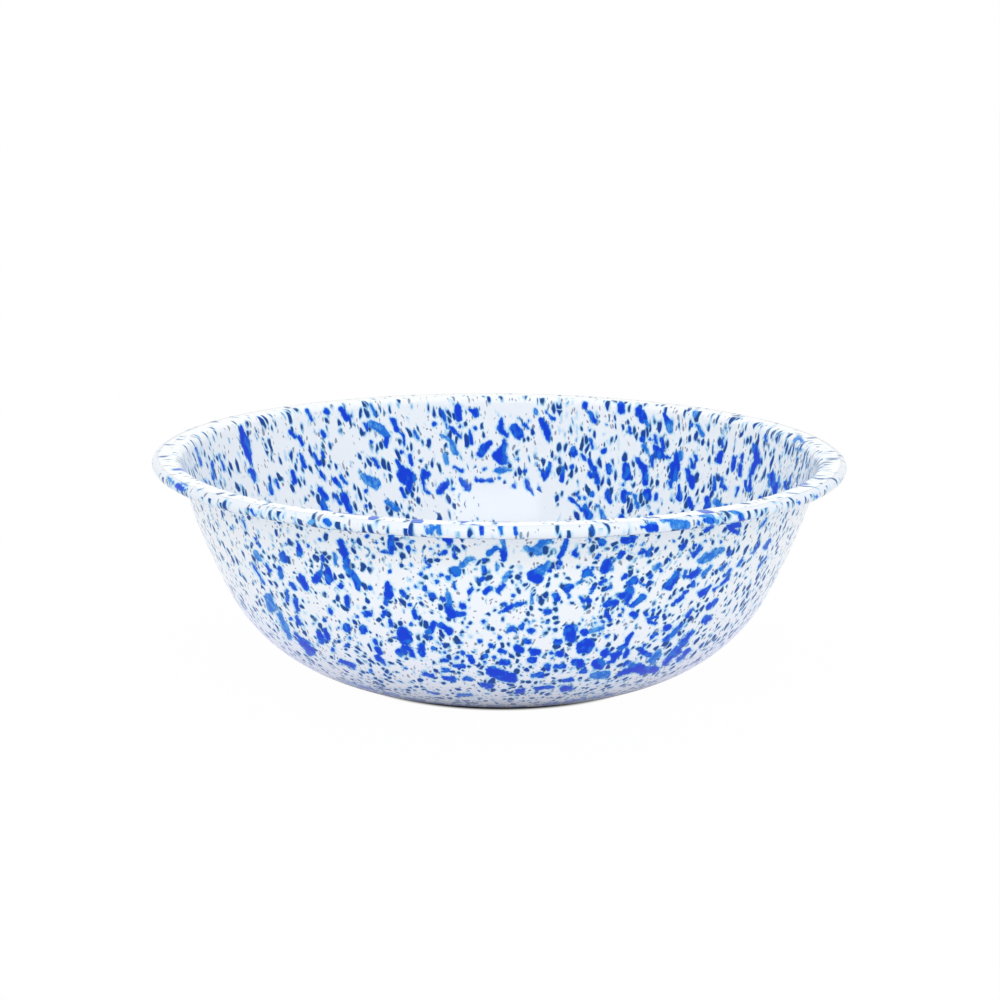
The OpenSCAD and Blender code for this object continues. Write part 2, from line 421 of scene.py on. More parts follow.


# %% Splashes picked from the photograph
# A stroke is the pixel x, y of its start, how far right and down of it the end is, and the half
# width at each end in tenths of a millimetre, as seen. A round drop is x, y and its half width.
# The thin ones are azure.
inside_strokes = [
    (241,427,3,11,8,22), (244,438,4,15,22,17), (248,453,4,12,16,8), (251,471,5,10,16,10),
    (292,472,3,10,10,16), (299,437,3,7,9,12), (290,431,5,6,12,9), (307,410,5,10,8,10),
    (326,411,2,2,12,10), (341,409,6,9,16,19), (314,454,5,9,10,14), (322,453,2,4,10,9),
    (300,454,4,13,7,12), (387,436,-1,10,16,10), (365,423,2,7,9,10), (393,420,4,10,12,15),
    (398,431,5,5,7,8), (403,437,2,9,9,7), (410,455,2,10,11,9), (374,459,4,8,9,12), (397,461,7,10,8,22),
    (404,474,4,4,36,40), (408,479,3,14,32,8), (343,495,4,8,16,20), (347,503,4,9,19,12),
    (320,489,6,9,15,15), (322,501,4,10,13,16), (326,511,7,3,9,6), (334,494,7,10,6,8), (335,480,6,7,14,9),
    (341,476,5,8,10,9), (320,472,5,8,9,9), (322,431,3,5,9,10), (401,489,4,8,11,8), (414,431,4,8,8,9),
    (442,411,2,9,9,10), (444,420,3,8,9,6), (458,408,0,11,20,16), (468,409,6,3,5,18), (475,412,1,2,20,20),
    (450,427,10,10,9,12), (470,431,2,12,8,13), (490,443,-6,5,15,22), (484,448,-4,6,23,20),
    (502,419,-2,9,10,17), (500,428,6,8,19,15), (506,436,-2,10,11,11), (503,447,-4,8,16,30),
    (499,456,3,4,32,30), (502,462,9,1,12,4), (514,428,5,7,22,24), (541,420,6,12,12,24),
    (547,432,1,8,22,8), (546,412,7,7,7,12), (525,424,4,5,9,8), (585,404,0,2,14,15), (573,450,1,4,17,16),
    (583,456,2,4,9,10), (455,467,7,4,9,12), (461,480,6,8,13,18), (476,480,16,1,9,10), (423,470,3,5,12,22),
    (422,477,2,14,10,8), (424,491,5,2,6,11), (446,484,-6,7,16,20), (447,479,1,5,7,10),
    (527,480,0,7,12,10), (529,489,5,6,8,5), (563,468,-1,12,11,13), (577,493,2,6,10,9),
    (571,499,5,4,14,10), (576,503,6,7,9,10), (585,507,4,9,15,22), (589,412,6,9,11,14), (591,440,2,8,9,12),
    (621,405,0,6,17,17), (639,410,4,8,20,26), (664,414,4,8,8,20), (630,427,1,6,8,12), (655,435,1,8,8,11),
    (662,439,2,10,11,10), (656,447,4,7,16,26), (652,457,0,9,13,9), (663,455,7,3,9,8),
    (674,465,0,12,20,24), (677,454,0,14,11,18), (670,482,0,5,14,10), (679,485,0,13,8,16),
    (695,456,2,4,12,10), (691,460,2,7,11,10), (687,470,4,10,12,20), (691,480,1,7,20,13),
    (721,454,-2,7,17,15), (723,431,0,16,6,9), (735,457,-2,12,10,13), (742,455,0,7,9,7),
    (740,465,0,11,11,10), (755,446,2,14,12,20), (757,460,-6,14,19,12), (750,475,0,15,8,12),
    (745,481,2,10,8,9), (714,478,1,11,9,11), (722,478,0,9,10,10), (725,487,1,2,13,12),
    (707,499,1,7,16,15), (738,488,-2,7,9,7), (689,499,2,7,14,17), (582,455,2,5,10,9), (589,460,5,9,11,15),
    (597,474,1,8,13,14), (609,466,0,6,16,16), (626,466,1,10,20,23), (636,458,8,11,10,20),
    (644,469,2,14,20,16), (607,491,1,8,11,15), (624,493,0,8,18,13), (625,493,6,1,12,6),
    (647,493,1,4,22,20), (656,494,0,6,11,10), (766,436,0,6,7,7), (785,482,2,9,7,9), (790,477,1,12,6,6),
    (212,462,2,17,7,8), (196,448,5,17,6,8), (204,480,6,7,8,6), (219,455,6,15,6,7), (540,470,3,4,8,11),
    (543,474,2,5,13,10), (550,464,-2,9,9,16), (548,474,-3,4,15,10), (270,484,1,10,8,11),
    (275,479,4,9,8,8), (772,474,2,10,14,20), (775,485,0,9,19,10),
]
inside_drops = [
    (402,452,13), (330,445,11), (366,506,10), (434,424,11), (460,426,10), (475,428,11), (529,421,9),
    (518,418,9), (572,467,14), (485,469,12), (499,478,9), (514,486,15), (453,489,10), (525,471,10),
    (539,488,10), (585,498,9), (517,459,10), (590,430,10), (604,451,14), (691,425,11), (607,425,9),
    (608,480,10), (622,485,9), (591,494,14), (610,502,11), (590,475,16), (597,506,10), (647,506,12),
    (621,517,17), (651,515,13), (726,506,9), (761,498,10), (366,491,11), (371,442,11), (642,439,16),
    (650,439,12),
]
inside_thin = [
    (372,424,9,5,20,24), (381,429,6,7,25,18), (364,477,12,7,18,26), (386,501,10,8,10,19),
    (441,435,9,4,7,9), (450,439,6,14,10,14), (445,455,2,7,9,12), (497,470,6,0,18,17), (503,470,8,0,15,4),
    (535,410,1,3,11,11), (643,418,5,8,22,9), (668,422,2,8,22,16), (695,413,0,2,13,13),
    (697,425,6,10,11,12), (644,446,3,6,13,9), (680,453,0,6,14,13), (717,502,1,3,18,17),
    (635,496,3,11,12,13), (601,510,2,9,9,17), (371,404,5,12,8,11), (794,441,4,-4,9,11),
    (798,437,5,5,11,8), (796,449,6,1,6,5), (769,475,1,11,9,8), (779,477,0,11,7,6),
]
outside_strokes = [
    (340,541,5,13,16,22), (345,554,2,12,19,17), (352,573,6,10,16,16), (358,583,1,7,16,12),
    (391,537,0,12,18,18), (391,552,-9,0,15,9), (323,556,-1,12,9,9), (320,573,-4,6,18,23),
    (328,571,1,9,20,24), (299,574,3,5,8,16), (302,579,4,9,18,16), (280,569,1,9,15,11),
    (282,554,3,7,15,13), (297,541,3,12,8,16), (291,584,4,5,13,10), (287,591,1,10,10,11),
    (295,600,3,11,15,12), (297,616,3,8,10,12), (255,538,5,9,6,7), (252,563,4,8,6,8), (258,573,6,11,8,6),
    (266,563,4,8,9,10), (319,634,3,7,17,16), (325,630,3,8,13,17), (346,627,2,2,19,18),
    (363,629,0,2,21,20), (347,597,1,9,15,15), (362,613,5,1,6,17), (367,614,3,0,19,19),
    (330,610,1,3,15,13), (383,616,2,-4,11,16), (390,620,1,5,11,13), (403,633,3,6,32,34),
    (374,641,1,2,12,14), (376,648,4,4,14,16), (377,657,3,3,16,13), (383,661,2,3,12,10),
    (398,651,3,3,16,16), (404,647,7,3,14,15), (412,654,3,4,13,10), (414,611,2,6,15,14),
    (402,592,2,2,16,18), (445,539,5,1,17,18), (448,542,1,1,16,15), (454,547,1,10,12,8),
    (439,554,7,-2,12,14), (455,571,2,1,25,24), (425,558,1,6,9,8), (430,566,-5,2,9,9), (430,595,3,1,14,14),
    (454,583,1,6,9,12), (484,566,1,5,7,14), (479,581,5,-3,8,10), (488,554,9,-6,13,14),
    (504,550,-1,9,18,18), (485,592,5,-4,13,15), (498,591,5,-5,17,13), (520,572,1,10,7,9),
    (472,588,-3,4,12,11), (566,541,-2,6,14,16), (564,547,-3,8,16,12), (577,546,-1,5,7,10),
    (560,563,-2,5,11,9), (534,576,3,1,33,32), (567,590,3,-4,20,19), (585,574,3,-3,20,18),
    (555,595,2,4,16,16), (581,598,2,3,13,11), (591,593,3,-5,8,12), (546,612,3,0,17,17),
    (500,613,12,-7,10,15), (512,606,13,-3,13,9), (448,607,4,7,20,25), (459,614,4,0,14,13),
    (433,623,-2,7,16,15), (431,630,-8,6,14,10), (441,625,9,6,16,19), (422,646,0,7,21,21),
    (508,630,6,-2,14,12), (521,627,2,-3,16,12), (530,631,3,0,17,17), (569,630,2,7,30,31),
    (583,632,2,0,19,19), (557,642,2,0,19,18), (526,641,3,1,14,14), (490,646,2,0,12,12),
    (500,651,5,1,15,12), (517,648,3,2,21,21), (533,652,5,0,20,20), (583,648,5,-3,35,35),
    (559,654,2,0,18,17), (601,543,2,0,20,20), (624,541,8,-1,19,18), (632,539,6,-2,11,8),
    (641,545,3,-2,9,9), (620,556,3,-3,17,14), (639,554,4,-3,13,13), (647,555,5,-7,11,10),
    (597,558,3,-3,11,9), (604,570,4,-8,22,20), (622,578,4,-3,11,12), (629,584,6,-4,15,19),
    (642,584,4,1,10,9), (600,583,5,-3,12,11), (606,589,4,-2,11,11), (605,605,11,-3,18,19),
    (630,591,-4,12,23,12), (620,596,7,0,14,18), (632,606,11,-9,13,19), (633,614,2,2,19,19),
    (606,613,4,6,10,15), (649,619,7,-2,9,11), (655,623,-6,-1,13,12), (650,577,2,-2,11,10),
    (677,573,-6,11,13,19), (671,584,-3,3,21,20), (683,577,4,-6,9,10), (692,576,7,-7,18,14),
    (692,586,2,-5,12,8), (694,556,6,-9,12,13), (681,549,3,-4,12,11), (684,593,4,-2,10,9),
    (673,604,9,-7,8,14), (701,594,10,-8,18,8), (708,607,9,-7,14,8), (705,621,3,-3,18,17),
    (687,616,6,-7,12,8), (682,643,11,-12,18,9), (666,628,3,-1,16,13), (665,640,8,-6,15,13),
    (673,634,9,-10,12,11), (627,640,6,-7,16,9), (652,637,5,-3,11,9), (620,649,7,-5,12,12),
    (604,654,3,-3,21,18), (614,657,5,-4,17,16), (625,656,3,-5,14,12), (641,650,7,5,14,16),
    (721,570,4,-6,11,9), (730,570,-5,6,9,9), (738,565,5,-6,9,8), (729,555,2,-4,9,8),
    (728,579,-14,11,10,8), (760,527,7,-9,8,7), (752,554,7,-10,7,6), (764,549,6,-9,8,6),
    (759,567,8,-10,7,6), (242,517,4,13,6,5), (470,657,2,4,17,15), (502,662,6,1,17,16),
    (491,671,11,4,26,30), (502,675,11,3,28,25), (440,661,7,-1,10,12), (442,671,6,-1,10,10),
    (455,665,9,1,11,11), (423,674,10,2,12,10), (444,678,10,1,11,13), (465,678,6,1,12,11),
    (483,685,9,1,16,14), (530,660,4,1,18,17), (547,666,1,4,19,11), (556,667,8,-1,13,13),
    (533,676,9,-1,13,18), (575,662,6,2,22,22), (597,664,3,0,28,28), (609,663,5,-2,10,10),
    (624,665,4,-3,10,11), (618,675,14,-6,10,22), (632,668,9,0,26,24), (640,671,16,-2,20,18),
    (580,672,6,-1,11,10), (536,689,8,-1,11,10), (547,688,6,-1,11,10), (562,689,9,-1,15,13),
    (517,692,6,-2,14,11), (563,680,9,-1,11,10), (665,663,13,-13,13,20), (678,661,11,-11,10,12),
    (341,661,14,6,13,12), (295,634,8,8,9,18), (303,642,8,9,20,24), (346,682,31,9,5,6), (385,693,14,3,6,5),
    (405,698,19,3,5,7), (430,703,17,2,6,5), (452,705,28,2,7,6), (487,707,13,0,5,5), (514,707,12,0,5,5),
    (543,705,17,-2,7,6), (566,702,19,-3,6,7), (592,698,20,-4,5,6), (458,695,13,0,9,8), (427,692,11,2,6,6),
    (705,530,7,-3,13,12), (729,527,9,-2,11,18), (732,530,5,2,15,13), (388,583,1,12,14,25),
    (386,599,0,5,16,9),
]
outside_drops = [
    (355,542,11), (367,536,11), (376,542,10), (320,540,12), (286,544,10), (308,546,10), (408,548,13),
    (414,550,11), (412,542,12), (390,572,10), (411,565,11), (341,586,13), (370,587,13), (325,620,12),
    (395,637,10), (405,652,15), (346,646,13), (333,650,13), (350,638,10), (409,605,14), (411,624,12),
    (357,617,11), (315,623,9), (338,628,10), (412,634,9), (408,589,10), (410,580,10), (357,557,10),
    (322,556,10), (291,618,10), (431,549,10), (438,546,9), (475,560,11), (448,578,16), (441,575,12),
    (437,582,13), (432,575,10), (421,574,11), (425,588,16), (420,598,10), (415,586,10), (483,560,9),
    (513,595,11), (558,557,13), (575,554,21), (550,571,10), (593,568,10), (593,575,9), (569,596,11),
    (589,601,17), (584,607,10), (505,604,13), (463,606,21), (467,628,13), (484,622,13), (461,635,10),
    (461,643,10), (480,641,12), (500,638,12), (431,638,13), (438,643,10), (433,649,13), (516,632,10),
    (529,622,11), (547,622,12), (554,630,9), (551,653,12), (475,651,10), (462,653,12), (445,652,10),
    (457,658,12), (486,656,14), (494,657,13), (485,662,13), (590,540,13), (617,547,10), (632,546,10),
    (661,571,10), (652,582,9), (623,610,10), (603,621,13), (595,623,10), (594,618,10), (620,615,12),
    (646,614,13), (653,610,10), (687,577,9), (674,541,10), (706,541,9), (721,542,9), (670,560,9),
    (662,631,11), (645,645,9), (607,637,10), (690,551,9), (600,633,10), (596,649,9), (443,600,14),
    (582,620,9), (405,668,9), (371,671,10), (695,545,9), (235,508,9), (232,528,9), (540,567,9),
    (552,658,10), (443,645,9),
]
outside_thin = [
    (344,566,8,7,14,17), (334,554,2,10,11,10), (279,614,6,12,13,12), (285,627,5,11,16,12),
    (256,553,3,7,15,12), (466,560,6,-1,11,9), (497,563,0,9,9,9), (503,540,1,9,13,9), (511,571,-6,7,9,13),
    (539,552,-12,-4,20,14), (541,543,11,-3,17,10), (536,549,7,-6,18,16), (540,573,8,-10,23,13),
    (532,593,0,10,9,9), (448,594,2,9,13,13), (589,632,14,-4,9,11), (655,569,5,-5,11,12),
    (703,575,8,-9,13,8), (701,561,7,-4,18,23), (708,557,9,-5,20,16), (717,552,6,-3,16,12),
    (652,661,7,-8,20,17), (593,676,14,-2,18,20), (614,559,-2,12,8,7), (577,583,9,-3,8,7),
    (575,626,1,4,10,12), (462,565,5,-5,17,13), (391,585,2,7,8,6), (268,597,4,11,20,22),
]
rim_strokes = [
    (326,521,3,3,16,14), (481,527,1,7,10,10), (501,527,1,7,12,10), (515,528,1,6,11,11), (434,527,1,7,7,6),
    (428,527,1,7,6,5), (592,528,1,6,8,8), (251,510,3,6,7,6), (642,527,6,1,8,18), (648,528,7,0,20,20),
    (705,520,6,1,12,17), (741,515,1,5,15,16), (814,496,2,1,8,9), (798,502,1,1,6,6), (705,530,7,-3,13,12),
    (729,527,9,-2,11,18), (732,530,5,2,15,13), (698,522,0,2,9,9), (258,512,-2,4,6,6), (285,513,-2,5,5,5),
    (178,486,4,3,13,15),
]
rim_thin = [
    (674,524,12,1,23,24), (661,520,12,1,7,10), (700,516,12,0,6,7), (712,516,3,5,8,8), (721,514,-3,9,7,6),
    (729,511,11,2,7,10), (722,526,8,-2,5,6), (646,523,10,0,4,5), (168,477,5,6,6,8), (183,483,4,2,7,6),
    (425,526,2,8,6,5), (431,526,2,8,10,8), (438,526,3,8,14,11), (309,523,5,-2,7,8),
]
print(len(inside_strokes + inside_drops), "inside,", len(outside_strokes + outside_drops), "outside")


# %% Depth of the glaze in the placed splashes
PIXELS_PER_MM = 2.1
EDGE_REACH = 3.0
SPLASH_REACH = 40
NEVER_NOUGHT = 0.001
TENTHS_PER_MM = 10


def splash_depth(piece, strokes):
    """How far each point lies inside the nearest splash, in mm as seen and below zero outside it.
    A splash is a stroke whose half width goes evenly from one end to the other: its depth at a point is
    the half width at the closest place on the stroke less the distance to that place."""
    pixels = grids[piece.name]["pixels"]
    deepest = np.full(len(pixels), -EDGE_REACH)
    for x, y, across, down, wide, end_wide in strokes:
        start, reach = np.array([x, y]), np.array([across, down])
        nearby = np.flatnonzero(np.abs(pixels - start).max(axis=1) < SPLASH_REACH)
        offset = pixels[nearby] - start
        share = np.clip(offset @ reach / (reach @ reach + NEVER_NOUGHT), 0, 1)
        gap = np.hypot(*(offset - share[:, None] * reach).T) / PIXELS_PER_MM
        half_width = (wide + (end_wide - wide) * share) / TENTHS_PER_MM
        deepest[nearby] = np.maximum(deepest[nearby], half_width - gap)
    return deepest


for piece, strokes, drops, thin in ((enamel_inside, inside_strokes, inside_drops, inside_thin),
                                    (enamel_outside, outside_strokes, outside_drops, outside_thin),
                                    (enamel_rim, rim_strokes, [], rim_thin)):
    deep = splash_depth(piece, strokes + [(x, y, 0, 0, wide, wide) for x, y, wide in drops])
    shallow = splash_depth(piece, thin)
    add_values(piece, "splash", np.maximum(deep, shallow))
    add_values(piece, "thin", shallow - deep)
    print(piece.name, "splashed share %.2f" % np.mean(np.maximum(deep, shallow) > 0))

# %% [markdown]
# Elsewhere the large drops are random, so that the bowl is as busy at the back as at the front.
# Each point gets a "wild" share, which is nought where the splashes were placed and one
# where the photograph shows nothing, and a "cover" share for how often a drop falls: less on the
# lip, in bare spots and under the lamp's glare inside, where the missing drops are painted highlight,
# more low down on the outside, and most on the left front of the rim.

# %% Where random large drops go, and how thick the drops lie
def wrapped(angle):
    """An angle brought between minus pi and pi."""
    return (angle + math.pi) % (2 * math.pi) - math.pi


def unseen(angle, middle, half_width):
    """Goes from 0 inside a sector round the bowl to 1 outside it, over a tenth of a half turn."""
    away = np.abs(wrapped(angle - middle))
    return smooth(away, half_width, half_width + 0.1 * math.pi)


def behind_rim(points):
    """Goes from 1 where the near rim hides a point of the inside from the camera to 0 where it
    doesn't. The line of sight over the rim falls evenly from the rim's near side."""
    x, y, z = points.T
    fall = (eye[2] - bowl_h) / (-eye[1] - rim_r)
    sight = bowl_h - fall * (y + np.sqrt(np.clip(rim_r**2 - x**2, 0, None)))
    return 1 - smooth(z - sight, -14 * MM, -2 * MM)


def wave(angle, middle):
    """One at the middle angle, minus one across the bowl from it, and smooth between."""
    return np.cos(angle - math.radians(middle))


def thinned(piece, spots):
    """Cover left by spots that take drops away, both bare spots of the glaze and painted highlight under
    the lamp's glare. Each spot is a pixel x, y, a width in pixels and the share that it takes away at its
    middle, which fades by a bell curve."""
    left = np.ones(len(piece.data.vertices))
    for x, y, width, share in spots:
        away = np.hypot(*(grids[piece.name]["pixels"] - [x, y]).T) / width
        left -= share * np.exp(-away**2)
    return np.clip(left, 0, 1)


# The first two spots are painted highlight: the lamp makes a real glare on the far inside, and these take
# the drops away under it so that white shows there. The others are bare spots of the glaze.
inside_bare_and_glare = [(490, 505, 34, 0.9), (535, 506, 34, 0.9), (300, 498, 18, 0.5),
               (520, 402, 26, 0.6), (420, 400, 24, 0.6)]
outside_bare = [(482, 605, 20, 0.6), (480, 545, 16, 0.6), (665, 545, 16, 0.7),
                (617, 572, 12, 0.7), (645, 625, 14, 0.5)]
back, front = math.pi / 2, -math.pi / 2
FAR_WALL = 0.52 * math.pi
FRONT_WALL = 0.42 * math.pi
at = grids["enamel_inside"]
hidden = behind_rim(at["points"])
add_values(enamel_inside, "wild", np.maximum(unseen(at["angle"], back, FAR_WALL), hidden))
right_end = np.clip(wave(at["angle"], -5), 0, 1)**8
on_lip = smooth(at["radius"], bend_c[0] - 3 * MM, bend_c[0] + 2 * MM)
cover = (0.9 + 0.12 * wave(at["angle"], 30) + 0.4 * right_end) * (1 - 0.6 * on_lip)
add_values(enamel_inside, "cover", cover * thinned(enamel_inside, inside_bare_and_glare))
at = grids["enamel_outside"]
from_flat = 1 - smooth(at["along"], 60 * MM, 90 * MM)
add_values(enamel_outside, "wild", np.maximum(unseen(at["angle"], front, FRONT_WALL), from_flat))
low_down = 1 - smooth(at["along"], 110 * MM, 190 * MM)
lowest = 1 - smooth(at["along"], 70 * MM, 105 * MM)
cover = 1.0 + 0.4 * low_down + 0.6 * lowest
add_values(enamel_outside, "cover", cover * thinned(enamel_outside, outside_bare))
at = grids["enamel_rim"]
turned_out = smooth(at["along"], roll_r * math.radians(40), roll_r * math.radians(80))
add_values(enamel_rim, "wild", 0.9 * unseen(at["angle"], front, FRONT_WALL) * turned_out)
hatched = np.clip(wave(at["angle"], -133), 0, 1)**24
cover = 0.3 + (0.95 + 0.4 * hatched) * turned_out
add_values(enamel_rim, "cover", cover)
print("cover of the rim: %.2f to %.2f" % (cover.min(), cover.max()))

# %% [markdown]
# Materials are wired in code. A few short helpers add a node, or a little sum, and hand back the
# output socket, so that a recipe reads like the formula that it stands for. What several
# finishes share is a node group with named inputs and outputs.

# %% Short ways to add nodes
def srgb(code):
    """Linear colour from a hex code, by the standard curve."""
    parts = np.array([int(code[i:i + 2], 16) / 255 for i in (1, 3, 5)])
    linear = np.where(parts <= 0.04045, parts / 12.92, ((parts + 0.055) / 1.055) ** 2.4)
    return (*linear.tolist(), 1.0)


class Wiring:
    """Adds nodes to one tree. A value for an input is a number, a colour or another node's output."""

    def __init__(self, tree):
        self.tree = tree

    def add(self, kind, **settings):
        node = self.tree.nodes.new("ShaderNode" + kind)
        for name, value in settings.items():
            setattr(node, name, value)
        return node

    def feed(self, socket, value):
        if isinstance(value, bpy.types.NodeSocket):
            self.tree.links.new(value, socket)
        else:
            socket.default_value = value

    def sum(self, operation, *values, clamp=False):
        node = self.add("Math", operation=operation, use_clamp=clamp)
        for socket, value in zip(node.inputs, values):
            self.feed(socket, value)
        return node.outputs[0]

    def vector(self, operation, first, second):
        node = self.add("VectorMath", operation=operation)
        self.feed(node.inputs[0], first)
        self.feed(node.inputs["Scale"] if operation == "SCALE" else node.inputs[1], second)
        return node.outputs[0]

    def step(self, value, low, high, start=0.0, end=1.0):
        """Smooth step of a value from start at low to end at high."""
        node = self.add("MapRange", interpolation_type="SMOOTHSTEP")
        for socket, given in zip(node.inputs, (value, low, high, start, end)):
            self.feed(socket, given)
        return node.outputs[0]

    def mix(self, share, first, second):
        """Colour between two colours."""
        node = self.add("Mix", data_type="RGBA")
        for place, given in ((0, share), (6, first), (7, second)):
            self.feed(node.inputs[place], given)
        return node.outputs[2]

    def noise(self, place, scale, detail=2.0, roughness=0.5):
        node = self.add("TexNoise")
        titles = ("Vector", "Scale", "Detail", "Roughness")
        for title, given in zip(titles, (place, scale, detail, roughness)):
            self.feed(node.inputs[title], given)
        return node.outputs

    def value_on(self, name, output="Fac"):
        """A value that was put on the piece's points."""
        return self.add("Attribute", attribute_name=name).outputs[output]


def new_group(name, inputs, outputs):
    """An empty node group. Inputs are (title, kind, value) and outputs (title, kind)."""
    group = bpy.data.node_groups.new(name, "ShaderNodeTree")
    for title, kind, value in inputs:
        socket = group.interface.new_socket(title, in_out="INPUT", socket_type="NodeSocket" + kind)
        if value is not None:
            socket.default_value = value
    for title, kind in outputs:
        group.interface.new_socket(title, in_out="OUTPUT", socket_type="NodeSocket" + kind)
    given = group.nodes.new("NodeGroupInput").outputs
    return group, Wiring(group), given, group.nodes.new("NodeGroupOutput")


def use_group(wiring, group, **values):
    node = wiring.add("Group", node_tree=group)
    for title, value in values.items():
        wiring.feed(node.inputs[title.replace("_", " ")], value)
    return node.outputs


# %% [markdown]
# One layer of drops comes from a Voronoi texture: each cell may hold one drop with its own size.
# How deep a point lies in its drop is the drop's radius less the distance to its middle, and
# never more than the distance to the cell's edge, which leaves a thin white line between
# drops that crowd each other, as on the real glaze.

# %% Node group: one layer of drops
def make_drop_layer():
    """Depth in mm = min(radius - distance, distance to the edge - gap) * cell."""
    group, w, given, out = new_group("drop_layer", [
        ("Place", "Vector", None), ("Cell", "Float", 5.0), ("Chance", "Float", 0.5),
        ("Smallest", "Float", 0.15), ("Largest", "Float", 0.45), ("Gap", "Float", 0.04)],
        [("Depth", "Float")])
    place = w.vector("SCALE", given["Place"], w.sum("DIVIDE", 1.0, given["Cell"]))
    cells = w.add("TexVoronoi", feature="F1")
    borders = w.add("TexVoronoi", feature="DISTANCE_TO_EDGE")
    for texture in (cells, borders):
        w.feed(texture.inputs["Vector"], place)
        w.feed(texture.inputs["Scale"], 1.0)
        w.feed(texture.inputs["Randomness"], 0.85)
    lot = w.add("SeparateColor")
    w.feed(lot.inputs[0], cells.outputs["Color"])
    spread = w.sum("POWER", lot.outputs["Green"], 1.4)
    size_range = w.sum("SUBTRACT", given["Largest"], given["Smallest"])
    radius = w.sum("MULTIPLY_ADD", spread, size_range, given["Smallest"])
    missing = w.sum("GREATER_THAN", lot.outputs["Red"], given["Chance"])
    inside = w.sum("SUBTRACT", w.sum("SUBTRACT", radius, cells.outputs["Distance"]), missing)
    from_edge = w.sum("SUBTRACT", borders.outputs["Distance"], given["Gap"])
    w.feed(out.inputs["Depth"], w.sum("MULTIPLY", w.sum("MINIMUM", inside, from_edge), given["Cell"]))
    return group


drop_layer = make_drop_layer()
print(drop_layer.name, "has", len(drop_layer.nodes), "nodes")

# %% [markdown]
# The splatter group puts the layers together over the placed splashes. A warp bends all of them, so
# that no drop is quite round. Thick glaze fires to a deep ultramarine, thin glaze to azure and the
# thinnest to a pale blue. Each drop has a soft mid-blue edge, and round it a pale blue bleeds into
# the white. Small drops are duller, some of them teal, and specks are darker still.

# %% Node group: the splattered enamel
WHITE = srgb("#F1F6FB")
# Painted light: the inside's white is painted lighter than the outside's, for the room light that the
# bowl's own walls shut out.
INSIDE_WHITE_PAINTED_LIGHTER = srgb("#F8FBFC")
# Painted shade: the rim's white is painted darker, so that its upturned top, which the room and the lamp
# light most, does not glare.
RIM_WHITE_PAINTED_DARKER = srgb("#E7EDF5")
DEEP = srgb("#023FD8")
AZURE = srgb("#1872DC")
THINNEST = srgb("#69B4EA")
SMALL = srgb("#0C3FB0")
TEAL = srgb("#1A488A")
EDGE = srgb("#5795CC")
PALE = srgb("#A4D8F6")
SPECK = srgb("#3B5480")


# A layer's cell in mm, its chance of a drop, the smallest and largest radius and the least gap as
# shares of the cell, and a shift that keeps it apart from the others.
LARGE_DROPS = (13.0, 0.6, 0.2, 0.5, 0.02, 0.0)
MIDDLE_DROPS = (6.2, 0.52, 0.2, 0.5, 0.03, 101.0)
SMALL_DROPS = (3.4, 0.72, 0.22, 0.52, 0.05, 203.0)
SPECK_DROPS = (1.9, 0.45, 0.18, 0.46, 0.06, 307.0)


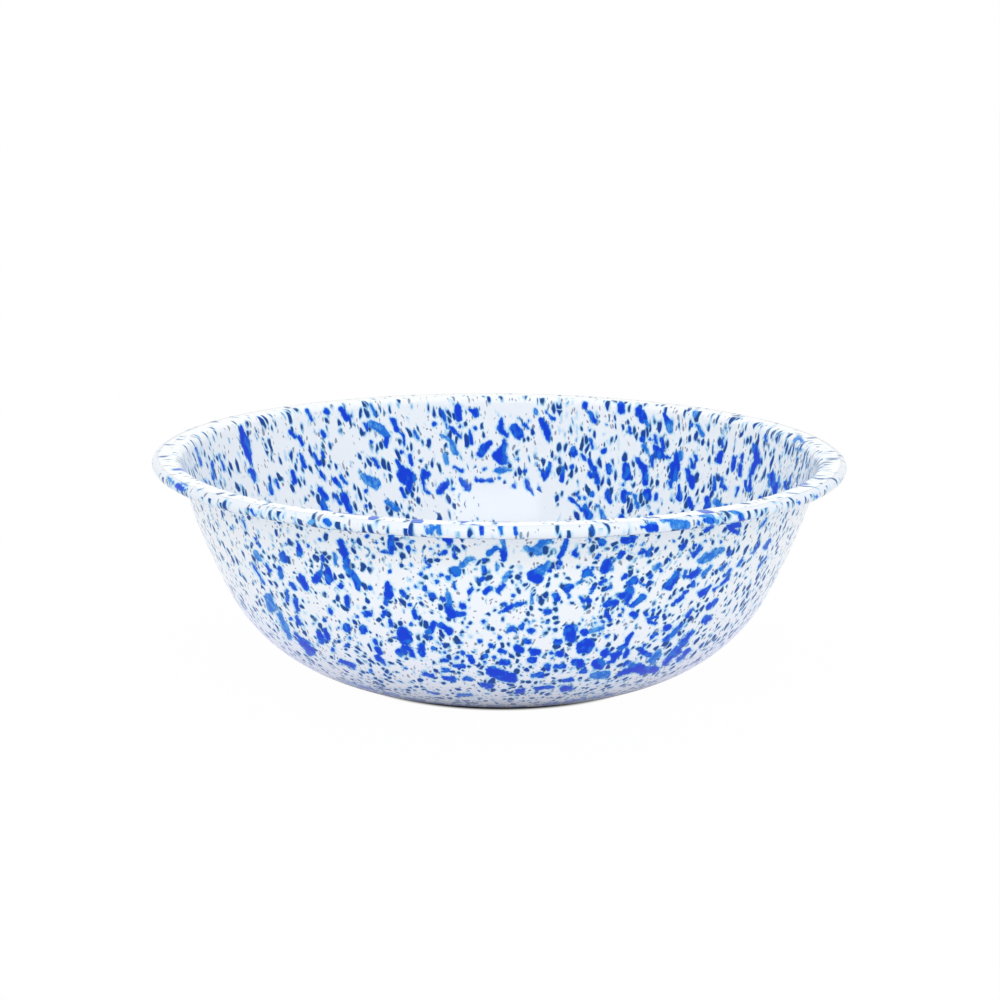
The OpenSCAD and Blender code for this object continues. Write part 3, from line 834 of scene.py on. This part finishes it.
def make_splatter():
    """Colour, height in mm and share of blue at a point of the glaze. A drop's edge is where its
    depth is nought, so every step below is between two depths in mm."""
    group, w, given, out = new_group("splatter", [
        ("Flow", "Vector", None), ("Splash", "Float", -3.0), ("Thin", "Float", -3.0),
        ("Wild", "Float", 1.0), ("Cover", "Float", 1.0), ("White", "Color", WHITE)],
        [("Color", "Color"), ("Height", "Float"), ("Blue", "Float")])
    flow = w.vector("SCALE", given["Flow"], 1000.0)

    def bent(scale, reach, seed):
        """A vector that bends places by up to half the reach, in mm."""
        shifted = w.vector("ADD", flow, (seed, seed, seed))
        noise = w.noise(shifted, scale)["Color"]
        return w.vector("SCALE", w.vector("SUBTRACT", noise, (0.5, 0.5, 0.5)), reach)

    place = w.vector("ADD", w.vector("ADD", flow, bent(0.09, 7.0, 31.0)), bent(0.3, 2.2, 57.0))
    ragged = w.noise(flow, 0.34, 3.0, 0.6)["Fac"]
    splash = w.sum("MULTIPLY_ADD", w.sum("SUBTRACT", ragged, 0.55), 3.2, given["Splash"])
    cover = given["Cover"]

    def layer(cell, chance, smallest, largest, gap, seed, share=1.0):
        shifted = w.vector("ADD", place, (seed, seed, seed))
        often = w.sum("MULTIPLY", w.sum("MULTIPLY", chance, cover), share)
        return use_group(w, drop_layer, Place=shifted, Cell=cell, Chance=often,
                         Smallest=smallest, Largest=largest, Gap=gap)["Depth"]

    large = layer(*LARGE_DROPS, given["Wild"])
    middle = layer(*MIDDLE_DROPS, given["Wild"])
    small = layer(*SMALL_DROPS, w.sum("MULTIPLY_ADD", given["Wild"], 0.15, 0.85))
    specks = layer(*SPECK_DROPS)

    thick = w.sum("MAXIMUM", splash, w.sum("MAXIMUM", large, middle))
    any_drop = w.sum("MAXIMUM", thick, small)
    thin_spots = w.step(w.noise(flow, 0.22, 2.0)["Fac"], 0.5, 0.66)
    shallow = w.step(thick, 0.0, 0.9, 0.6, 0.0)
    shallow = w.sum("MAXIMUM", shallow, w.step(given["Thin"], -0.3, 0.5))
    blue = w.mix(w.sum("MAXIMUM", thin_spots, shallow), DEEP, AZURE)
    patchy = w.step(ragged, 0.45, 0.7, 0.0, 0.8)
    thinnest = w.sum("MULTIPLY", w.step(given["Thin"], 0.0, 0.8), patchy)
    blue = w.mix(thinnest, blue, THINNEST)

    halo_patch = w.step(w.noise(flow, 0.2)["Fac"], 0.35, 0.6, 0.65, 1.0)
    halo = w.sum("MAXIMUM", w.step(thick, -1.15, 0.0), w.step(small, -0.9, 0.0))
    halo = w.sum("MULTIPLY", halo, halo_patch)
    paint = w.mix(halo, given["White"], PALE)
    paint = w.mix(w.step(any_drop, -0.3, 0.05, 0.0, 0.6), paint, EDGE)
    paint = w.mix(w.step(specks, -0.15, 0.15, 0.0, 0.7), paint, SPECK)
    dulled = w.step(w.noise(flow, 0.4)["Fac"], 0.38, 0.58)
    small_blue = w.mix(dulled, SMALL, TEAL)
    small_blue = w.mix(w.step(small, -0.1, 0.5), SPECK, small_blue)
    paint = w.mix(w.step(small, -0.1, 0.25), paint, small_blue)
    paint = w.mix(w.step(thick, -0.2, 0.25), paint, blue)
    w.feed(out.inputs["Color"], paint)
    w.feed(out.inputs["Height"], w.step(any_drop, -0.3, 0.9, 0.0, 0.06))
    w.feed(out.inputs["Blue"], w.step(any_drop, -0.08, 0.14))
    return group


splatter = make_splatter()
print(splatter.name, "has", len(splatter.nodes), "nodes")


# %% Material: glossy fired enamel
def new_material(name):
    material = bpy.data.materials.new(name)
    material.use_nodes = True
    w = Wiring(material.node_tree)
    shader = material.node_tree.nodes["Principled BSDF"]
    return material, w, shader


def make_enamel(name, white=WHITE, shade_band=None):
    """Glass over steel: the splatter's colour under a smooth, slightly wavy gloss. Where a shade band
    is given, as its middle and half width in metres, a broken dark line is painted: painted shade of the
    gap under the rolled edge."""
    material, w, shader = new_material(name)
    flow = w.value_on("flow", "Vector")
    glaze = use_group(w, splatter, Flow=flow, Splash=w.value_on("splash"), Thin=w.value_on("thin"),
                      Wild=w.value_on("wild"), Cover=w.value_on("cover"), White=white)
    paint = glaze["Color"]
    if shade_band:
        middle, half_width = shade_band
        # Painted shade: a dark band in the speck colour, broken by noise, where the rolled edge turns in
        # towards the wall.
        away = w.sum("ABSOLUTE", w.sum("SUBTRACT", w.value_on("along"), middle))
        painted_shade = w.sum("MULTIPLY", w.step(away, 0.0, half_width, 1.0, 0.0),
                     w.step(w.noise(flow, 60.0)["Fac"], 0.3, 0.6, 0.4, 1.0))
        paint = w.mix(painted_shade, paint, SPECK)
    w.feed(shader.inputs["Base Color"], paint)
    w.feed(shader.inputs["Roughness"], w.sum("MULTIPLY_ADD", glaze["Blue"], -0.02, 0.09))
    shader.inputs["IOR"].default_value = 1.5
    shader.inputs["Specular IOR Level"].default_value = 0.14
    peel = w.sum("MULTIPLY", w.noise(flow, 350.0)["Fac"], 0.03)
    bump = w.add("Bump")
    bump.inputs["Strength"].default_value = 1.0
    bump.inputs["Distance"].default_value = MM
    w.feed(bump.inputs["Height"], w.sum("ADD", peel, glaze["Height"]))
    w.feed(shader.inputs["Normal"], bump.outputs["Normal"])
    return material


# Painted shade: the dark line under the rolled edge, where the gap between roll and wall lies in shade.
under_roll = roll_r * math.radians(166)
roll_gap_shade = (under_roll, 1.5 * MM)
add_values(enamel_rim, "along", grids["enamel_rim"]["along"])
# The inside gets the lighter white, which is painted light.
enamel_inside.data.materials.append(make_enamel("enamel_inside", INSIDE_WHITE_PAINTED_LIGHTER))
enamel_outside.data.materials.append(make_enamel("enamel_outside"))
# The rim gets the darker white, which is painted shade.
enamel_rim.data.materials.append(make_enamel("enamel_rim", RIM_WHITE_PAINTED_DARKER, roll_gap_shade))
print("roll gap shade %.1f mm along the roll" % (under_roll / MM))

# %% [markdown]
# The steel and the ground coats are hidden between the white coats, but they keep their own finish:
# drawn steel with faint scratches, and a dark, slightly mottled glass.

# %% Materials of the hidden sheet and ground coats
def make_steel():
    material, w, shader = new_material("pressed_steel")
    place = w.add("TexCoord").outputs["Object"]
    scratches = w.noise(w.vector("MULTIPLY", place, (60.0, 60.0, 900.0)), 8.0, 4.0)["Fac"]
    w.feed(shader.inputs["Base Color"], w.mix(scratches, srgb("#8A8C90"), srgb("#A9ABB0")))
    shader.inputs["Metallic"].default_value = 1.0
    w.feed(shader.inputs["Roughness"], w.step(scratches, 0.3, 0.7, 0.3, 0.5))
    return material


def make_ground_coat():
    material, w, shader = new_material("dark_ground_coat")
    place = w.add("TexCoord").outputs["Object"]
    mottle = w.noise(place, 900.0, 3.0)["Fac"]
    w.feed(shader.inputs["Base Color"], w.mix(mottle, srgb("#14161F"), srgb("#2B3045")))
    w.feed(shader.inputs["Roughness"], w.step(mottle, 0.3, 0.7, 0.15, 0.3))
    return material


finishes = {"steel_body": make_steel()}
finishes["ground_coat_inside"] = finishes["ground_coat_outside"] = make_ground_coat()
for name, finish in finishes.items():
    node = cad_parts[name]
    for slot in node.material_slots:
        slot.material = finish
    print(name, "finished with", finish.name, "in", len(node.material_slots), "slots")

# %% [markdown]
# The photograph has a white ground that runs out of view with no horizon. A floor that shows white to
# the camera gives that, with a little paper in it that takes the bowl's shadow. It lights the bowl
# from below, faintly lavender near the foot, and right under the foot it is dark paper, for the
# deep shadow of the contact. The light is a plain bright room, dimmer at its two sides, so that
# the ends of the bowl are shaded, and one wide soft lamp above and behind the camera: its image
# makes the glare inside the far wall and the white line on the rim.

# %% Room light
room = bpy.data.worlds.new("room")
bpy.context.scene.world = room
room.use_nodes = True
w = Wiring(room.node_tree)
room.node_tree.nodes.clear()
ray = w.add("LightPath").outputs
seen = w.sum("MAXIMUM", ray["Is Camera Ray"], ray["Is Glossy Ray"])
seen = w.sum("MAXIMUM", seen, ray["Is Transmission Ray"])
ROOM_LEVEL = 0.98
SIDE_LEVEL = 0.8
TO_SIDE = (0.45, 0.95)
direction = w.add("SeparateXYZ")
w.feed(direction.inputs[0], w.add("TexCoord").outputs["Generated"])
aside = w.sum("ABSOLUTE", direction.outputs["X"])
level = w.step(aside, *TO_SIDE, ROOM_LEVEL, SIDE_LEVEL)
air = w.add("Background")
w.feed(air.inputs["Color"], (1, 1, 1, 1))
w.feed(air.inputs["Strength"], w.sum("MAXIMUM", seen, level))
w.feed(w.add("OutputWorld").inputs[0], air.outputs[0])
print("room light from", SIDE_LEVEL, "at the sides to", ROOM_LEVEL)

# %% Soft lamp above the camera
lamp_data = bpy.data.lights.new("soft_lamp", "AREA")
lamp_data.shape = "RECTANGLE"
lamp_data.size = 1.0
lamp_data.size_y = 0.2
lamp_data.energy = 4.0
lamp = bpy.data.objects.new("soft_lamp", lamp_data)
lamp_place = Vector((0.05, -1.2, 1.13))
lamp_turn = lamp_place.to_track_quat("Z", "Y").to_matrix().to_4x4()
lamp.matrix_world = Matrix.Translation(lamp_place) @ lamp_turn
bpy.context.collection.objects.link(lamp)
print("lamp %.2f m away" % lamp_place.length)

# %% Floor
FLOOR_HALF = 6
floor_mesh = bpy.data.meshes.new("floor")
corners = [(-FLOOR_HALF, -FLOOR_HALF, 0), (FLOOR_HALF, -FLOOR_HALF, 0),
           (FLOOR_HALF, FLOOR_HALF, 0), (-FLOOR_HALF, FLOOR_HALF, 0)]
floor_mesh.from_pydata(corners, [], [(0, 1, 2, 3)])
floor = bpy.data.objects.new("floor", floor_mesh)
bpy.context.collection.objects.link(floor)
floor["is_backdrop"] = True

material = bpy.data.materials.new("floor")
material.use_nodes = True
material.node_tree.nodes.clear()
w = Wiring(material.node_tree)
spot = w.add("SeparateXYZ")
w.feed(spot.inputs[0], w.add("TexCoord").outputs["Object"])
squares = [w.sum("POWER", spot.outputs[axis], 2.0) for axis in "XY"]
from_axis = w.sum("SQRT", w.sum("ADD", *squares))
SHOW_WHITE = 0.985
paper = w.add("BsdfDiffuse")
# Painted shadow: the paper is painted nearly black right under the foot, standing for the deep shadow of
# the contact.
w.feed(paper.inputs["Color"], w.step(from_axis, 80 * MM, 100 * MM, 0.02, 0.92))
FLOOR_LEVEL = 0.98
LAVENDER = (0.84, 0.84, 1.0, 1.0)
ray = w.add("LightPath").outputs
seen = w.sum("MAXIMUM", ray["Is Camera Ray"], ray["Is Transmission Ray"])
lit = w.step(from_axis, 84 * MM, 160 * MM, 0.0, FLOOR_LEVEL)
mirrored = w.sum("MULTIPLY", ray["Is Glossy Ray"], w.step(from_axis, 76 * MM, 105 * MM))
close = w.step(from_axis, 110 * MM, 260 * MM, 1.0, 0.0)
near_foot = w.sum("MULTIPLY", w.sum("SUBTRACT", 1.0, seen), close)
glow = w.add("Emission")
w.feed(glow.inputs["Color"], w.mix(near_foot, (1, 1, 1, 1), LAVENDER))
w.feed(glow.inputs["Strength"], w.sum("MAXIMUM", w.sum("MAXIMUM", seen, mirrored), lit))
both = w.add("MixShader")
w.feed(both.inputs[0], w.step(from_axis, 78 * MM, 83 * MM, 0.0, SHOW_WHITE))
w.feed(both.inputs[1], paper.outputs[0])
w.feed(both.inputs[2], glow.outputs[0])
w.feed(w.add("OutputMaterial").inputs[0], both.outputs[0])
floor_mesh.materials.append(material)
print("floor", 2 * FLOOR_HALF, "m wide")

# %% Settings and finish
bpy.context.scene.view_settings.view_transform = "Standard"
seen_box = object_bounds()
for box in (cad_box, seen_box):
    print("box in mm:", *["%.2f" % ((high - low) / MM) for low, high in zip(*box)])
